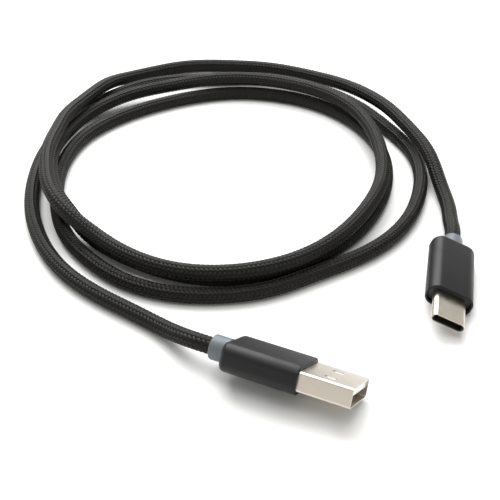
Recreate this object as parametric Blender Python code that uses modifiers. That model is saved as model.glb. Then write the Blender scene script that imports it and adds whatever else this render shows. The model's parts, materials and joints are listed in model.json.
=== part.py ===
"""A braided charging cable, USB-A plug to USB-C plug, lying in a loose coil on a flat surface.

Each plug is modelled in its own frame: X runs from the cord's exit to the tip, Y across the plug's
width and Z through its thickness. Its parent empty stands at the cord's exit and turns the whole plug.
The part's frame has +Z up, with the surface at Z = 0 and the origin under the middle of the two plugs.
"""
import math

import bmesh
import bpy
import numpy as np
from mathutils import Vector

MM = 0.001

# ---------------------------------------------------------------------------
# Driving dimensions, in metres
# ---------------------------------------------------------------------------
# Clearances
FIT_GAP = 0.08 * MM          # between pieces that seat on each other
SOLDER_GAP = 0.10 * MM       # between a wire or a chip and what it is soldered to
FACE_GAP = 0.30 * MM         # between the cord's end and the plug's collar

# Cord
CORD_DIAMETER = 4.1 * MM     # over the braid
JACKET_DIAMETER = 3.2 * MM   # inner sheath, bare inside the plugs
WIRE_DIAMETER = 0.85 * MM
WIRE_SPREAD = 0.55 * MM      # a wire's offset from the axis where it leaves the sheath
TUBE_POINTS = 86

# USB-A plug
A_EXIT = (-31.6 * MM, -11.0 * MM)
A_YAW = math.radians(-25.6)
A_ROLL = math.radians(-28.5)
A_SHELL_EXPOSED = 12.0 * MM
A_SHELL_LENGTH = 18.4 * MM
A_SHELL_WIDTH = 12.0 * MM
A_SHELL_HEIGHT = 4.5 * MM
A_SHELL_RADIUS = 0.6 * MM
A_COLLAR_DIAMETER = 5.8 * MM
A_COLLAR_NECK = 4.8 * MM     # where it passes through the housing's back wall
A_COLLAR_LENGTH = 4.3 * MM
A_COLLAR_DEPTH = 3.2 * MM    # how far the collar reaches into the housing
A_HOUSING_LENGTH = 18.0 * MM
A_HOUSING_WIDTH = A_SHELL_WIDTH + 2 * 0.80 * MM
A_HOUSING_HEIGHT = A_SHELL_HEIGHT + 2 * 1.05 * MM
A_HOUSING_RADIUS = 2.4 * MM
A_HOUSING_WALL = 0.30 * MM
A_END_WALL = 0.9 * MM
A_SHELL_SHEET = 0.3 * MM
A_WINDOW_LENGTH = 2.5 * MM
A_WINDOW_WIDTH = 2.0 * MM
A_WINDOW_SPACING = 5.5 * MM
A_WINDOW_FROM_TIP = 6.1 * MM
A_TONGUE_THICKNESS = 1.85 * MM
A_TONGUE_SETBACK = 0.5 * MM
A_CAVITY_DEPTH = 11.8 * MM   # open mouth, from the tip back to the tongue's block
A_CONTACT_WIDTH = 1.0 * MM
A_CONTACT_THICKNESS = 0.25 * MM
A_CONTACT_PITCHES = (-3.5 * MM, -1.0 * MM, 1.0 * MM, 3.5 * MM)
A_CONTACT_SETBACKS = (1.9 * MM, 2.9 * MM, 2.9 * MM, 1.9 * MM)
A_CONTACT_TAIL = 1.6 * MM    # behind the tongue's block
A_SHEATH_LENGTH = 2.6 * MM   # bare sheath past the collar, inside the housing

# USB-C plug
C_EXIT = (27.9 * MM, 30.85 * MM)
C_YAW = math.radians(-101.0)
C_ROLL = math.radians(-22.0)
C_SHELL_EXPOSED = 8.3 * MM   # past the housing's rim
C_SHELL_LENGTH = 14.5 * MM
C_SHELL_WIDTH = 8.25 * MM
C_SHELL_HEIGHT = 2.4 * MM
C_COLLAR_DIAMETER = 5.2 * MM
C_COLLAR_NECK = 4.3 * MM
C_COLLAR_LENGTH = 3.5 * MM
C_COLLAR_DEPTH = 3.0 * MM
C_HOUSING_LENGTH = 21.4 * MM
C_HOUSING_WIDTH = C_SHELL_WIDTH + 2 * 1.675 * MM
C_HOUSING_HEIGHT = C_SHELL_HEIGHT + 2 * 1.80 * MM
C_HOUSING_RADIUS = 2.6 * MM
C_HOUSING_WALL = 0.5 * MM
C_END_WALL = 0.9 * MM
C_MOUTH_RECESS = 1.1 * MM    # how far the housing's rim stands past the inner mould
C_SHELL_SHEET = 0.2 * MM
C_CAVITY_WIDTH = 7.0 * MM
C_CAVITY_HEIGHT = 1.5 * MM
C_CAVITY_DEPTH = 7.0 * MM    # open mouth, from the tip back to the insulator's block
C_INSULATOR_SETBACK = 0.2 * MM
C_CONTACT_COUNT = 12
C_CONTACT_PITCH = 0.5 * MM
C_CONTACT_WIDTH = 0.26 * MM
C_CONTACT_THICKNESS = 0.12 * MM
C_CONTACT_GAP = 0.84 * MM    # between the two rows, where a socket's tongue goes
C_CONTACT_SETBACK = 1.5 * MM
C_CONTACT_BASE = 0.7 * MM    # the strip that joins a row's contacts at the back
C_LATCH_THICKNESS = 0.16 * MM
C_LATCH_HEIGHT = 0.5 * MM
C_LATCH_GAP = 6.3 * MM       # between the two latch springs
C_LATCH_HOOK = 0.2 * MM
C_LATCH_SETBACK = 1.7 * MM
C_CARD_WIDTH = 6.6 * MM
C_CARD_THICKNESS = 0.8 * MM
C_CARD_LENGTH = 6.4 * MM
C_RESISTOR = (1.0 * MM, 0.5 * MM, 0.35 * MM)
C_SHIELD_WIDTH = 9.2 * MM
C_SHIELD_HEIGHT = 3.6 * MM
C_SHIELD_RADIUS = 0.8 * MM
C_SHIELD_LENGTH = 7.8 * MM
C_WIRE_PITCH = 1.3 * MM
C_WIRE_LANDING = 1.2 * MM    # a wire's straight end, over the card
C_SHEATH_LENGTH = 2.4 * MM

FERRULE_WALL = 0.25 * MM
FERRULE_LENGTH = 1.7 * MM

# The cord's centre line from the USB-A plug to the USB-C plug, chosen by hand.
ROUTE = (
    (-0.0425, -0.0023, 0.0028), (-0.0505, 0.0044, 0.0021), (-0.0598, 0.0113, 0.0021), (-0.0695, 0.0208, 0.0021),
    (-0.0780, 0.0353, 0.0021), (-0.0828, 0.0508, 0.0021), (-0.0844, 0.0658, 0.0021), (-0.0839, 0.0788, 0.0021),
    (-0.0811, 0.0921, 0.0021), (-0.0785, 0.1008, 0.0021), (-0.0748, 0.1076, 0.0021), (-0.0695, 0.1140, 0.0021),
    (-0.0603, 0.1223, 0.0021), (-0.0485, 0.1268, 0.0021), (-0.0345, 0.1281, 0.0021), (-0.0205, 0.1284, 0.0021),
    (-0.0075, 0.1243, 0.0021), (0.0025, 0.1173, 0.0021), (0.0115, 0.1070, 0.0021), (0.0185, 0.0943, 0.0021),
    (0.0235, 0.0823, 0.0021), (0.0251, 0.0698, 0.0021), (0.0233, 0.0568, 0.0021), (0.0190, 0.0448, 0.0021),
    (0.0125, 0.0348, 0.0021), (0.0030, 0.0263, 0.0021), (-0.0075, 0.0198, 0.0021), (-0.0185, 0.0138, 0.0021),
    (-0.0305, 0.0112, 0.0021), (-0.0435, 0.0122, 0.0021), (-0.0548, 0.0173, 0.0021), (-0.0642, 0.0261, 0.0021),
    (-0.0713, 0.0366, 0.0021), (-0.0754, 0.0488, 0.0021), (-0.0776, 0.0628, 0.0021),
    # second pass
    (-0.0771, 0.0768, 0.0021), (-0.0735, 0.0888, 0.0021), (-0.0660, 0.0993, 0.0021), (-0.0565, 0.1073, 0.0021),
    (-0.0435, 0.1143, 0.0021), (-0.0295, 0.1178, 0.0021), (-0.0155, 0.1163, 0.0021), (-0.0035, 0.1108, 0.0021),
    (0.0065, 0.1013, 0.0021), (0.0130, 0.0888, 0.0021), (0.0155, 0.0748, 0.0021), (0.0145, 0.0618, 0.0021),
    (0.0105, 0.0488, 0.0021), (0.0040, 0.0373, 0.0021), (-0.0060, 0.0268, 0.0021), (-0.0175, 0.0198, 0.0021),
    (-0.0305, 0.0178, 0.0021), (-0.0425, 0.0202, 0.0021), (-0.0535, 0.0260, 0.0021), (-0.0600, 0.0310, 0.0021),
    (-0.0650, 0.0354, 0.0028), (-0.0703, 0.0410, 0.0058), (-0.0755, 0.0500, 0.0065), (-0.0790, 0.0618, 0.0065),
    # third pass
    (-0.0801, 0.0738, 0.0059), (-0.0785, 0.0858, 0.0048), (-0.0753, 0.0968, 0.0038), (-0.0688, 0.1073, 0.0036),
    (-0.0596, 0.1148, 0.0038), (-0.0490, 0.1177, 0.0048), (-0.0375, 0.1188, 0.0063), (-0.0235, 0.1191, 0.0066),
    (-0.0115, 0.1158, 0.0066), (-0.0005, 0.1093, 0.0066), (0.0080, 0.0988, 0.0066), (0.0125, 0.0858, 0.0066),
    (0.0139, 0.0723, 0.0066), (0.0123, 0.0558, 0.0066), (0.0075, 0.0433, 0.0066), (-0.0005, 0.0303, 0.0066),
    (-0.0125, 0.0196, 0.0066), (-0.0265, 0.0146, 0.0066), (-0.0415, 0.0158, 0.0063), (-0.0535, 0.0218, 0.0064),
    (-0.0635, 0.0308, 0.0069), (-0.0702, 0.0362, 0.0094), (-0.0752, 0.0436, 0.0108), (-0.0784, 0.0548, 0.0109),
    # fourth pass
    (-0.0798, 0.0664, 0.0107), (-0.0795, 0.0788, 0.0096), (-0.0784, 0.0901, 0.0088), (-0.0755, 0.1008, 0.0076),
    (-0.0731, 0.1077, 0.0070), (-0.0707, 0.1136, 0.0065), (-0.0679, 0.1200, 0.0052), (-0.0637, 0.1266, 0.0034),
    (-0.0570, 0.1326, 0.0023), (-0.0455, 0.1378, 0.0021), (-0.0305, 0.1384, 0.0021), (-0.0155, 0.1360, 0.0021),
    (-0.0032, 0.1302, 0.0023), (0.0065, 0.1214, 0.0036), (0.0135, 0.1108, 0.0052), (0.0193, 0.0991, 0.0062),
    (0.0231, 0.0882, 0.0065), (0.0261, 0.0790, 0.0063), (0.0281, 0.0702, 0.0055), (0.0295, 0.0598, 0.0030),
    (0.0300, 0.0488, 0.0025), (0.0291, 0.0398, 0.0035),
)

WIRES = (("red", (0.62, 0.05, 0.04)), ("white", (0.80, 0.80, 0.78)),
         ("green", (0.05, 0.40, 0.12)), ("black", (0.03, 0.03, 0.03)))


# ---------------------------------------------------------------------------
# Scene and materials
# ---------------------------------------------------------------------------
def start_scene():
    """Empties the file and returns the collections for the parts and for the cutters."""
    for old in list(bpy.data.objects):
        bpy.data.objects.remove(old, do_unlink=True)
    made = []
    for name in ("charging_cable", "cutters"):
        made.append(bpy.data.collections.new(name))
        bpy.context.scene.collection.children.link(made[-1])
    return made


PARTS, CUTTERS = start_scene()


def material(name, color, roughness, metallic=0.0):
    """One Principled material for one sub-part."""
    made = bpy.data.materials.new(name)
    made.use_nodes = True
    made.diffuse_color = (*color, 1.0)
    shader = made.node_tree.nodes["Principled BSDF"]
    shader.inputs["Base Color"].default_value = (*color, 1.0)
    shader.inputs["Roughness"].default_value = roughness
    shader.inputs["Metallic"].default_value = metallic
    return made


NICKEL = dict(color=(0.62, 0.59, 0.54), roughness=0.30, metallic=1.0)
STEEL = dict(color=(0.45, 0.45, 0.46), roughness=0.35, metallic=1.0)
GOLD = dict(color=(0.83, 0.62, 0.25), roughness=0.25, metallic=1.0)
ANODISED = dict(color=(0.028, 0.028, 0.031), roughness=0.38, metallic=0.6)
BLACK_RESIN = dict(color=(0.015, 0.015, 0.016), roughness=0.45)
WHITE_RESIN = dict(color=(0.75, 0.78, 0.80), roughness=0.40)
GREY_RUBBER = dict(color=(0.33, 0.40, 0.46), roughness=0.45)
BRAID = dict(color=(0.022, 0.021, 0.021), roughness=0.60)
SHEATH = dict(color=(0.25, 0.25, 0.26), roughness=0.50)
BOARD = dict(color=(0.02, 0.16, 0.06), roughness=0.40)
CERAMIC = dict(color=(0.05, 0.05, 0.06), roughness=0.35)


# ---------------------------------------------------------------------------
# Shapes
# ---------------------------------------------------------------------------
def add(name, mesh, look, parent, collection=None):
    """Puts a mesh in the scene under its parent, with its own material."""
    obj = bpy.data.objects.new(name, mesh)
    (collection or PARTS).objects.link(obj)
    obj.parent = parent
    if look:
        mesh.materials.append(material(name, **look))
    return obj


def smooth(obj, angle=35.0):
    obj.data.shade_smooth()
    obj.data.set_sharp_from_angle(angle=math.radians(angle))


def section(width, height, radius, steps=5):
    """Points (y, z) round a rectangle with round corners, anticlockwise as seen from the tip."""
    across, up = width / 2 - radius, height / 2 - radius
    corners = ((across, up, 0), (-across, up, 90), (-across, -up, 180), (across, -up, 270))
    points = []
    for y, z, start in corners:
        for step in range(steps + 1):
            turn = math.radians(start + 90 * step / steps)
            points.append((y + radius * math.cos(turn), z + radius * math.sin(turn)))
    return points


def loft(name, rings, look, parent, hollow=False, collection=None):
    """Skins sections along X, each (x, width, height, radius).

    A solid is closed with a cap at each end, and a hollow one by joining the last ring to the first.
    """
    bm = bmesh.new()
    loops = [[bm.verts.new((x, y, z)) for y, z in section(*shape)] for x, *shape in rings]
    count = len(loops[0])
    pairs = list(zip(loops, loops[1:]))
    if hollow:
        pairs.append((loops[-1], loops[0]))
    else:
        bm.faces.new(loops[0])
        bm.faces.new(loops[-1])
    for first, second in pairs:
        for i in range(count):
            j = (i + 1) % count
            bm.faces.new((first[i], first[j], second[j], second[i]))
    bmesh.ops.recalc_face_normals(bm, faces=bm.faces)
    mesh = bpy.data.meshes.new(name)
    bm.to_mesh(mesh)
    bm.free()
    obj = add(name, mesh, look, parent, collection)
    smooth(obj)
    return obj


def box(name, size, centre, look, parent, collection=None):
    """A block from the cube primitive, scaled in its mesh."""
    bm = bmesh.new()
    bmesh.ops.create_cube(bm, size=1.0)
    bmesh.ops.scale(bm, vec=Vector(size), verts=bm.verts)
    mesh = bpy.data.meshes.new(name)
    bm.to_mesh(mesh)
    bm.free()
    obj = add(name, mesh, look, parent, collection)
    obj.location = centre
    return obj


def plate(name, outline, thickness, centre, look, parent, turn=(0.0, 0.0, 0.0)):
    """A flat outline (x, y) with a thickness along its own Z, turned about the plug's axes."""
    curve = bpy.data.curves.new(name, "CURVE")
    curve.dimensions = "2D"
    curve.fill_mode = "BOTH"
    curve.extrude = thickness / 2
    spline = curve.splines.new("POLY")
    spline.points.add(len(outline) - 1)
    spline.use_cyclic_u = True
    for point, (x, y) in zip(spline.points, outline):
        point.co = (x, y, 0.0, 1.0)
    obj = to_mesh(bpy.data.objects.new(name + "_outline", curve), name, look, parent)
    obj.location = centre
    obj.rotation_euler = turn
    return obj


def tube(name, points, diameter, look, parent, resolution=2):
    """A round wire along points, with filled caps."""
    curve = bpy.data.curves.new(name, "CURVE")
    curve.dimensions = "3D"
    curve.bevel_depth = diameter / 2
    curve.bevel_resolution = resolution
    curve.use_fill_caps = True
    spline = curve.splines.new("POLY")
    spline.points.add(len(points) - 1)
    for point, place in zip(spline.points, points):
        point.co = (*place, 1.0)
    obj = to_mesh(bpy.data.objects.new(name + "_line", curve), name, look, parent)
    smooth(obj, 50.0)
    return obj


def to_mesh(guide, name, look, parent):
    """Turns a curve object into a mesh object with welded caps, and removes the curve."""
    PARTS.objects.link(guide)
    bpy.context.view_layer.update()
    graph = bpy.context.evaluated_depsgraph_get()
    mesh = bpy.data.meshes.new_from_object(guide.evaluated_get(graph))
    bpy.data.objects.remove(guide, do_unlink=True)
    mesh.name = name
    bm = bmesh.new()
    bm.from_mesh(mesh)
    bmesh.ops.remove_doubles(bm, verts=bm.verts, dist=0.001 * MM)
    bmesh.ops.recalc_face_normals(bm, faces=bm.faces)
    bm.to_mesh(mesh)
    bm.free()
    mesh.materials.clear()
    return add(name, mesh, look, parent)


def turned(name, profile, look, parent):
    """A round piece on the plug's axis, from (x, radius) points, by a Screw modifier about X."""
    bm = bmesh.new()
    verts = [bm.verts.new((x, 0.0, radius)) for x, radius in profile]
    for first, second in zip(verts, verts[1:] + verts[:1]):
        bm.edges.new((first, second))
    mesh = bpy.data.meshes.new(name)
    bm.to_mesh(mesh)
    bm.free()
    obj = add(name, mesh, look, parent)
    screw = obj.modifiers.new("turn", "SCREW")
    screw.axis = "X"
    screw.steps = screw.render_steps = 24
    screw.use_merge_vertices = True
    screw.merge_threshold = 0.00001
    screw.use_smooth_shade = True
    return obj


def cut(target, cutter):
    cutter.hide_render = True
    cutter.display_type = "WIRE"
    modifier = target.modifiers.new(cutter.name, "BOOLEAN")
    modifier.operation = "DIFFERENCE"
    modifier.object = cutter


def bevel(obj, width, angle=40.0, segments=2):
    modifier = obj.modifiers.new("edges", "BEVEL")
    modifier.width = width
    modifier.segments = segments
    modifier.limit_method = "ANGLE"
    modifier.angle_limit = math.radians(angle)
    modifier.use_clamp_overlap = True


def plug_frame(name, exit_place, yaw, roll, width, height, radius):
    """The empty at the cord's exit. The rolled housing just touches the surface."""
    tilt = abs(roll)
    axis_height = (math.sin(tilt) * (width / 2 - radius) + math.cos(tilt) * (height / 2 - radius)
                   + radius)
    frame = bpy.data.objects.new(name, None)
    PARTS.objects.link(frame)
    frame.empty_display_size = 5 * MM
    frame.location = (*exit_place, axis_height)
    frame.rotation_euler = (roll, 0.0, yaw)
    return frame


# ---------------------------------------------------------------------------
# Pieces that both plugs have
# ---------------------------------------------------------------------------
def housing(name, parent, start, length, width, height, radius, wall, end_wall, hole, edge):
    """An aluminium sleeve, open at the front, with a round hole in its back wall."""
    end = start + length
    inner = (width - 2 * wall, height - 2 * wall, radius - wall)
    rings = [
        (start, hole, hole, hole / 2),
        (start, width - 2 * edge, height - 2 * edge, radius - edge),
        (start + 0.3 * edge, width - 0.6 * edge, height - 0.6 * edge, radius - 0.3 * edge),
        (start + edge, width, height, radius),
        (end - edge, width, height, radius),
        (end, width - edge, height - edge, radius - edge / 2),
        (end, *inner),
        (start + end_wall, *inner),
        (start + end_wall, hole, hole, hole / 2),
    ]
    return loft(name, rings, ANODISED, parent, hollow=True)


def collar(name, parent, length, depth, diameter, neck, end_wall, flange):
    """The soft sleeve where the cord comes out, with a groove that the housing's back wall sits in."""
    lip = 0.25 * MM
    inside = length + end_wall + FIT_GAP
    bore = JACKET_DIAMETER / 2 + FIT_GAP
    profile = [
        (0.0, bore),
        (0.0, diameter / 2 - lip),
        (lip, diameter / 2),
        (length - FIT_GAP, diameter / 2),
        (length - FIT_GAP, neck / 2),
        (inside, neck / 2),
        (inside, flange / 2),
        (length + depth, flange / 2),
        (length + depth, bore),
    ]
    return turned(name, profile[::-1], GREY_RUBBER, parent)


def cord_end(prefix, parent, sheath_end):
    """The bare sheath inside the collar, and the ferrule crimped round it."""
    start = FACE_GAP
    rod = [(start, 0.0, 0.0), (sheath_end, 0.0, 0.0)]
    tube(prefix + "_inner_sheath", rod, JACKET_DIAMETER, SHEATH, parent, resolution=3)
    bore = JACKET_DIAMETER / 2 + FIT_GAP
    back = sheath_end - FACE_GAP - FERRULE_LENGTH
    front = back + FERRULE_LENGTH
    profile = [(back, bore), (back, bore + FERRULE_WALL), (front, bore + FERRULE_WALL), (front, bore)]
    turned(prefix + "_crimp_ferrule", profile[::-1], STEEL, parent)


def wires(prefix, parent, start_x, ends, landing):
    """Four cores from the sheath to their solder joints, fanned out in a gentle S, then straight."""
    corners = ((1, 1), (-1, 1), (-1, -1), (1, -1))
    order = sorted(range(4), key=lambda i: (corners[i][0], corners[i][1]))
    for (color_name, color), corner, (x, y, z) in zip(WIRES, [corners[i] for i in order], ends):
        y0, z0 = corner[0] * WIRE_SPREAD, corner[1] * WIRE_SPREAD
        points = []
        for step in range(9):
            along = step / 8
            blend = along * along * (3 - 2 * along)
            points.append((start_x + (x - landing - start_x) * along, y0 + (y - y0) * blend,
                           z0 + (z - z0) * blend))
        points.append((x, y, z))
        tube(prefix + "_wire_" + color_name, points, WIRE_DIAMETER,
             dict(color=color, roughness=0.45), parent, resolution=1)


# ---------------------------------------------------------------------------
# USB-A plug
# ---------------------------------------------------------------------------
def usb_a_plug():
    frame = plug_frame("usb_a_plug", A_EXIT, A_YAW, A_ROLL,
                       A_HOUSING_WIDTH, A_HOUSING_HEIGHT, A_HOUSING_RADIUS)
    back = A_COLLAR_LENGTH
    front = back + A_HOUSING_LENGTH
    tip = front + A_SHELL_EXPOSED
    housing("usb_a_housing", frame, back, A_HOUSING_LENGTH, A_HOUSING_WIDTH, A_HOUSING_HEIGHT,
            A_HOUSING_RADIUS, A_HOUSING_WALL, A_END_WALL, A_COLLAR_NECK + 2 * FIT_GAP, 0.35 * MM)
    inner_height = A_HOUSING_HEIGHT - 2 * A_HOUSING_WALL
    collar("usb_a_collar", frame, A_COLLAR_LENGTH, A_COLLAR_DEPTH, A_COLLAR_DIAMETER,
           A_COLLAR_NECK, A_END_WALL, inner_height - 2 * FIT_GAP)
    sheath_end = A_COLLAR_LENGTH + A_COLLAR_DEPTH + A_SHEATH_LENGTH
    cord_end("usb_a", frame, sheath_end)

    shell_back = tip - A_SHELL_LENGTH
    usb_a_shell(frame, tip, shell_back)
    block_back = usb_a_tongue(frame, tip, shell_back)
    usb_a_contacts(frame, tip, block_back)
    usb_a_mould(frame, front, shell_back, sheath_end)

    contact_z = contact_height_a()
    ends = [(block_back - A_CONTACT_TAIL - SOLDER_GAP, y, contact_z) for y in A_CONTACT_PITCHES]
    wires("usb_a", frame, sheath_end + FACE_GAP, ends, 0.5 * MM)
    return frame


def contact_height_a():
    """The contacts lie on the tongue's inner face, on the underside."""
    top = A_SHELL_HEIGHT / 2 - A_SHELL_SHEET - FIT_GAP
    return top - A_TONGUE_THICKNESS - SOLDER_GAP - A_CONTACT_THICKNESS / 2


def usb_a_shell(frame, tip, shell_back):
    sheet = A_SHELL_SHEET
    outer = (A_SHELL_WIDTH, A_SHELL_HEIGHT, A_SHELL_RADIUS)
    inner = (A_SHELL_WIDTH - 2 * sheet, A_SHELL_HEIGHT - 2 * sheet, A_SHELL_RADIUS - sheet)
    rings = [(shell_back, *outer), (tip, *outer), (tip, *inner), (shell_back, *inner)]
    shell = loft("usb_a_shell", rings, NICKEL, frame, hollow=True)
    for side, y in (("near", -A_WINDOW_SPACING / 2), ("far", A_WINDOW_SPACING / 2)):
        size = (A_WINDOW_LENGTH, A_WINDOW_WIDTH, A_SHELL_HEIGHT * 2)
        cutter = box("usb_a_window_cutter_" + side, size, (tip - A_WINDOW_FROM_TIP, y, 0.0),
                     None, frame, CUTTERS)
        cut(shell, cutter)


def usb_a_tongue(frame, tip, shell_back):
    """The resin tongue in the mouth's upper half, one piece with the block behind it."""
    top = A_SHELL_HEIGHT / 2 - A_SHELL_SHEET - FIT_GAP
    front = tip - A_TONGUE_SETBACK
    block = tip - A_CAVITY_DEPTH
    block_back = shell_back + 1.5 * MM
    low = top - A_TONGUE_THICKNESS
    outline = [(front, low), (front, top), (block_back, top), (block_back, -top), (block, -top),
               (block, low)]
    width = A_SHELL_WIDTH - 2 * A_SHELL_SHEET - 2 * FIT_GAP
    tongue = plate("usb_a_tongue", outline, width, (0.0, 0.0, 0.0), WHITE_RESIN, frame,
                   (math.radians(90), 0.0, 0.0))
    bevel(tongue, 0.1 * MM)
    z = contact_height_a()
    for number, y in enumerate(A_CONTACT_PITCHES):
        size = (block - block_back + 2 * MM, A_CONTACT_WIDTH + 2 * SOLDER_GAP,
                A_CONTACT_THICKNESS + 2 * SOLDER_GAP)
        cutter = box(f"usb_a_channel_cutter_{number}", size, ((block + block_back) / 2, y, z),
                     None, frame, CUTTERS)
        cut(tongue, cutter)
    return block_back


def usb_a_contacts(frame, tip, block_back):
    names = ("power", "data_minus", "data_plus", "ground")
    tail = block_back - A_CONTACT_TAIL
    for name, y, setback in zip(names, A_CONTACT_PITCHES, A_CONTACT_SETBACKS):
        front = tip - A_TONGUE_SETBACK - setback
        contact = box("usb_a_contact_" + name, (front - tail, A_CONTACT_WIDTH, A_CONTACT_THICKNESS),
                      ((front + tail) / 2, y, contact_height_a()), GOLD, frame)
        bevel(contact, 0.06 * MM, segments=1)


def usb_a_mould(frame, front, shell_back, sheath_end):
    """The inner mould: a sleeve that holds the shell's back half and leaves room for the wires."""
    fill = 2 * (A_HOUSING_WALL + FIT_GAP)
    outer = (A_HOUSING_WIDTH - fill, A_HOUSING_HEIGHT - fill, A_HOUSING_RADIUS - fill / 2)
    grip = (A_SHELL_WIDTH + 2 * FIT_GAP, A_SHELL_HEIGHT + 2 * FIT_GAP, A_SHELL_RADIUS + FIT_GAP)
    room = (A_SHELL_WIDTH - 1.2 * MM, A_SHELL_HEIGHT - 0.6 * MM, 0.6 * MM)
    seat = shell_back - FIT_GAP
    back = sheath_end
    edge = 0.15 * MM
    rings = [(back, *outer), (front - edge, *outer),
             (front, outer[0] - edge, outer[1] - edge, outer[2] - edge / 2),
             (front, *grip), (seat, *grip), (seat, *room), (back, *room)]
    loft("usb_a_inner_mould", rings, BLACK_RESIN, frame, hollow=True)


# ---------------------------------------------------------------------------
# USB-C plug
# ---------------------------------------------------------------------------
def usb_c_plug():
    frame = plug_frame("usb_c_plug", C_EXIT, C_YAW, C_ROLL,
                       C_HOUSING_WIDTH, C_HOUSING_HEIGHT, C_HOUSING_RADIUS)
    back = C_COLLAR_LENGTH
    front = back + C_HOUSING_LENGTH
    tip = front + C_SHELL_EXPOSED
    housing("usb_c_housing", frame, back, C_HOUSING_LENGTH, C_HOUSING_WIDTH, C_HOUSING_HEIGHT,
            C_HOUSING_RADIUS, C_HOUSING_WALL, C_END_WALL, C_COLLAR_NECK + 2 * FIT_GAP, 0.25 * MM)
    inner_height = C_HOUSING_HEIGHT - 2 * C_HOUSING_WALL
    collar("usb_c_collar", frame, C_COLLAR_LENGTH, C_COLLAR_DEPTH, C_COLLAR_DIAMETER,
           C_COLLAR_NECK, C_END_WALL, inner_height - 2 * FIT_GAP)
    sheath_end = C_COLLAR_LENGTH + C_COLLAR_DEPTH + C_SHEATH_LENGTH
    cord_end("usb_c", frame, sheath_end)

    shell_back = tip - C_SHELL_LENGTH
    usb_c_shell(frame, tip, shell_back)
    block_back = usb_c_insulator(frame, tip, shell_back)
    usb_c_contact_rows(frame, tip)
    usb_c_latches(frame, tip)
    card_front = block_back - SOLDER_GAP
    usb_c_card(frame, card_front)
    shield_front = shell_back - FIT_GAP
    usb_c_shield(frame, shield_front)
    usb_c_mould(frame, front - C_MOUTH_RECESS, shell_back, sheath_end)

    lift = C_CARD_THICKNESS / 2 + SOLDER_GAP + WIRE_DIAMETER / 2
    card_back = card_front - C_CARD_LENGTH
    ends = [(card_back + C_WIRE_LANDING, (i - 1.5) * C_WIRE_PITCH, lift) for i in range(4)]
    wires("usb_c", frame, sheath_end + FACE_GAP, ends, C_WIRE_LANDING + 4 * SOLDER_GAP)
    return frame


def usb_c_shell(frame, tip, shell_back):
    sheet = C_SHELL_SHEET
    edge = 0.08 * MM
    outer = (C_SHELL_WIDTH, C_SHELL_HEIGHT, C_SHELL_HEIGHT / 2)
    nose = (outer[0] - 2 * edge, outer[1] - 2 * edge, outer[2] - edge)
    inner = (outer[0] - 2 * sheet, outer[1] - 2 * sheet, outer[2] - sheet)
    rings = [(shell_back, *outer), (tip - edge, *outer), (tip, *nose), (tip, *inner),
             (shell_back, *inner)]
    loft("usb_c_shell", rings, NICKEL, frame, hollow=True)


def usb_c_insulator(frame, tip, shell_back):
    """The black resin liner: an open cavity in front and a solid block behind it."""
    fill = 2 * (C_SHELL_SHEET + FIT_GAP)
    outer = (C_SHELL_WIDTH - fill, C_SHELL_HEIGHT - fill, (C_SHELL_HEIGHT - fill) / 2)
    cavity = (C_CAVITY_WIDTH, C_CAVITY_HEIGHT, 0.2 * MM)
    front = tip - C_INSULATOR_SETBACK
    floor = tip - C_CAVITY_DEPTH
    block_back = shell_back + 0.8 * MM
    rings = [(block_back, *outer), (front, *outer), (front, *cavity), (floor, *cavity)]
    loft("usb_c_insulator", rings, BLACK_RESIN, frame)
    return block_back


def usb_c_contact_rows(frame, tip):
    """Two rows of sprung contacts. Each row's origin lies on the line that it bends about."""
    base_x = tip - C_CAVITY_DEPTH + FIT_GAP
    length = C_CAVITY_DEPTH - FIT_GAP - C_CONTACT_SETBACK
    half = (C_CONTACT_COUNT - 1) * C_CONTACT_PITCH / 2
    outline = [(0.0, -half - C_CONTACT_WIDTH), (C_CONTACT_BASE, -half - C_CONTACT_WIDTH)]
    for number in range(C_CONTACT_COUNT):
        y = -half + number * C_CONTACT_PITCH
        outline += [(C_CONTACT_BASE, y - C_CONTACT_WIDTH / 2), (length, y - C_CONTACT_WIDTH / 2),
                    (length, y + C_CONTACT_WIDTH / 2), (C_CONTACT_BASE, y + C_CONTACT_WIDTH / 2)]
    outline += [(C_CONTACT_BASE, half + C_CONTACT_WIDTH), (0.0, half + C_CONTACT_WIDTH)]
    height = (C_CONTACT_GAP + C_CONTACT_THICKNESS) / 2
    for name, z in (("upper", height), ("lower", -height)):
        plate(f"usb_c_{name}_contacts", outline, C_CONTACT_THICKNESS, (base_x, 0.0, z), GOLD, frame)


def usb_c_latches(frame, tip):
    """The two side springs that click into a socket's tongue, each with a small hook."""
    base_x = tip - C_CAVITY_DEPTH + FIT_GAP
    length = C_CAVITY_DEPTH - FIT_GAP - C_LATCH_SETBACK
    hook = 0.7 * MM
    for name, side in (("left", 1), ("right", -1)):
        outline = [(0.0, 0.0), (length, 0.0), (length, -C_LATCH_THICKNESS - C_LATCH_HOOK * 0.3),
                   (length - hook / 2, -C_LATCH_THICKNESS - C_LATCH_HOOK),
                   (length - hook, -C_LATCH_THICKNESS), (0.0, -C_LATCH_THICKNESS)]
        outline = [(x, side * (y + C_LATCH_THICKNESS)) for x, y in outline]
        plate(f"usb_c_latch_{name}", outline, C_LATCH_HEIGHT, (base_x, side * C_LATCH_GAP / 2, 0.0),
              STEEL, frame)


def usb_c_card(frame, card_front):
    """The small circuit card behind the contacts, with the pull-up resistor on its underside."""
    size = (C_CARD_LENGTH, C_CARD_WIDTH, C_CARD_THICKNESS)
    middle = card_front - C_CARD_LENGTH / 2
    card = box("usb_c_circuit_card", size, (middle, 0.0, 0.0), BOARD, frame)
    bevel(card, 0.08 * MM, segments=1)
    drop = C_CARD_THICKNESS / 2 + SOLDER_GAP + C_RESISTOR[2] / 2
    chip = box("usb_c_pull_up_resistor", C_RESISTOR, (middle, 0.9 * MM, -drop), CERAMIC, frame)
    bevel(chip, 0.04 * MM, segments=1)


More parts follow.
